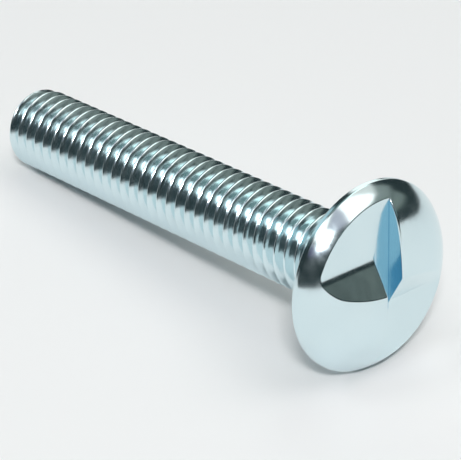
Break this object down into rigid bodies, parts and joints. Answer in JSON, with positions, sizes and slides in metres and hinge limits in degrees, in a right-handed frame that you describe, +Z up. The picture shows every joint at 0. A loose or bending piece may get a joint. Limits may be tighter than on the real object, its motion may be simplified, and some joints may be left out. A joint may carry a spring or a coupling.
{
  "type": "one-way truss head bolt",
  "caption": "Low domed truss head bolt with a tamper-resistant slotted recess that a driver can turn in but not out, and a threaded shank.",
  "frame": {"origin": "middle of the bounding box at the surface that the bolt lies on", "axes": "+Z up; +X along the bolt from the tip towards the head. The bolt lies on the rim of its head and on its last full crest, so its own axis rises by 5.93 degrees towards the head"},
  "size_m": [0.0384, 0.0132, 0.0132],
  "materials": {
    "zinc_plated_steel": "bright clear zinc plate, smooth and glossy, with a faint blue tone"
  },
  "bodies": {
    "root": {"bolt": "zinc_plated_steel"}
  },
  "joints": []
}
